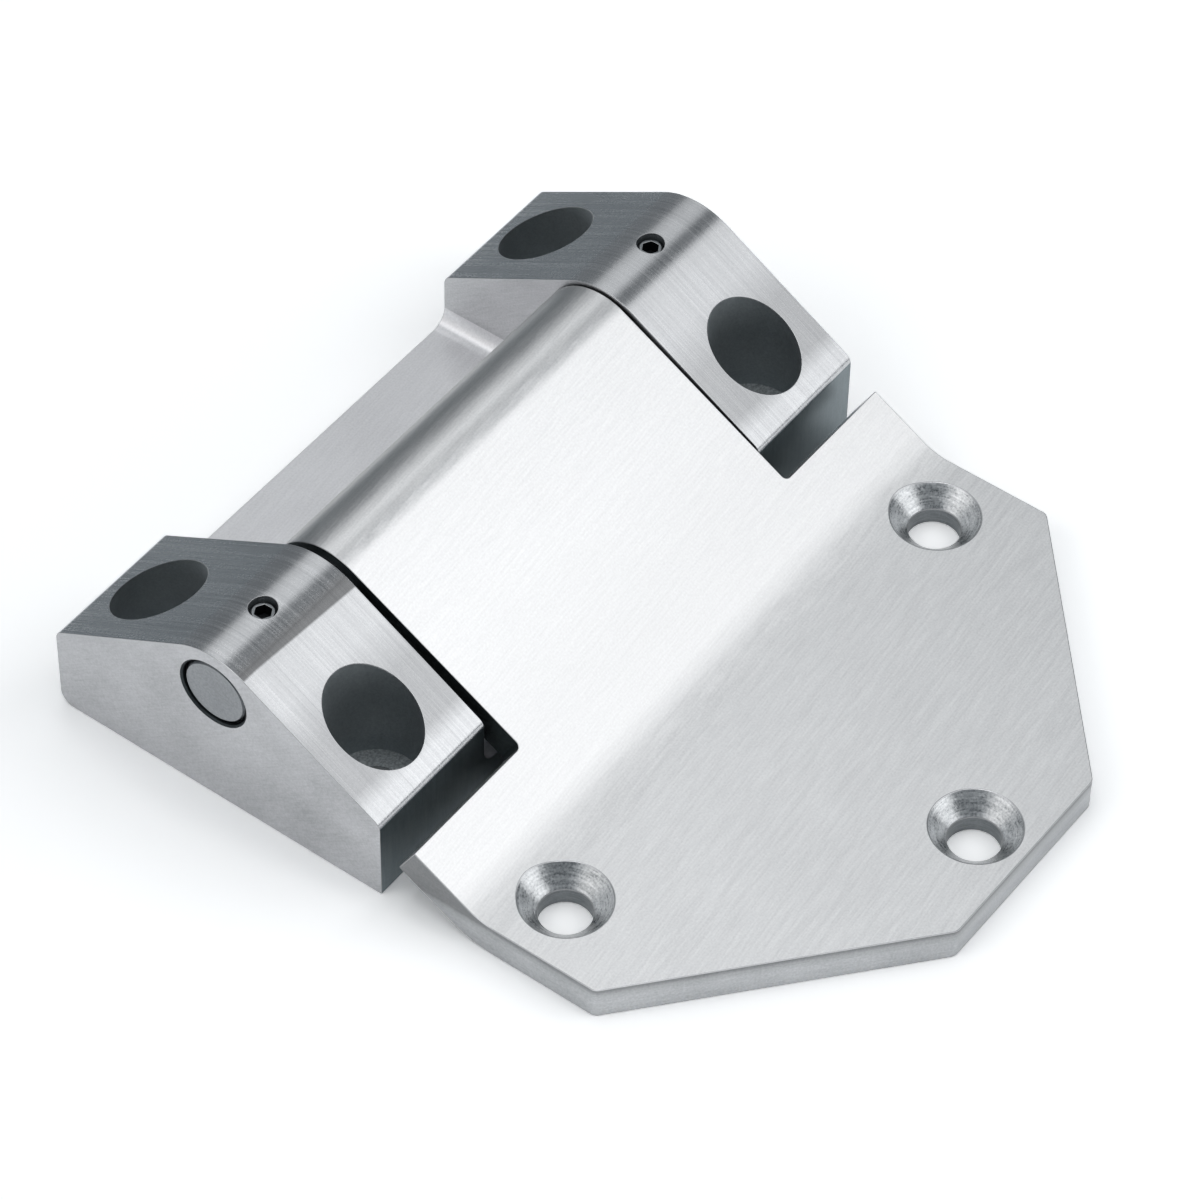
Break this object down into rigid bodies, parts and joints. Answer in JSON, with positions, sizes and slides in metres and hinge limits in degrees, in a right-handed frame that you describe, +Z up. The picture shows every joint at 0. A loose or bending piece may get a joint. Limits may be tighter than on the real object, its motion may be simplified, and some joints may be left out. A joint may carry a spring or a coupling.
{
  "type": "gate hinge",
  "caption": "Stainless steel block hinge: a base with two roof-shaped bearing blocks on a low web, a through pin locked by set screws, and a sloping leaf that bends into a tapered flange.",
  "frame": {"origin": "centre of the base's four bolt holes, on the mounting face, straight under the pin's axis", "axes": "+X along the pin, +Y across it towards the flange, +Z up from the mounting face; the base's underside and the flange's underside both lie at Z = 0"},
  "size_m": [0.12, 0.136, 0.032],
  "materials": {
    "base_steel": "satin brushed stainless steel, cast and ground",
    "leaf_steel": "bright brushed stainless steel, grain along the pin",
    "pin_steel": "turned and satin stainless steel",
    "screw_steel": "dark plain steel"
  },
  "bodies": {
    "fixed_side": {"base": "base_steel", "hinge_pin": "pin_steel", "left_set_screw": "screw_steel", "right_set_screw": "screw_steel"},
    "leaf_side": {"leaf": "leaf_steel"}
  },
  "joints": [
    {"name": "leaf_hinge", "type": "hinge", "parent": "fixed_side", "child": "leaf_side", "pos_m": [0, 0, 0.0235], "axis": [1, 0, 0], "range_deg": [0, 180]}
  ]
}
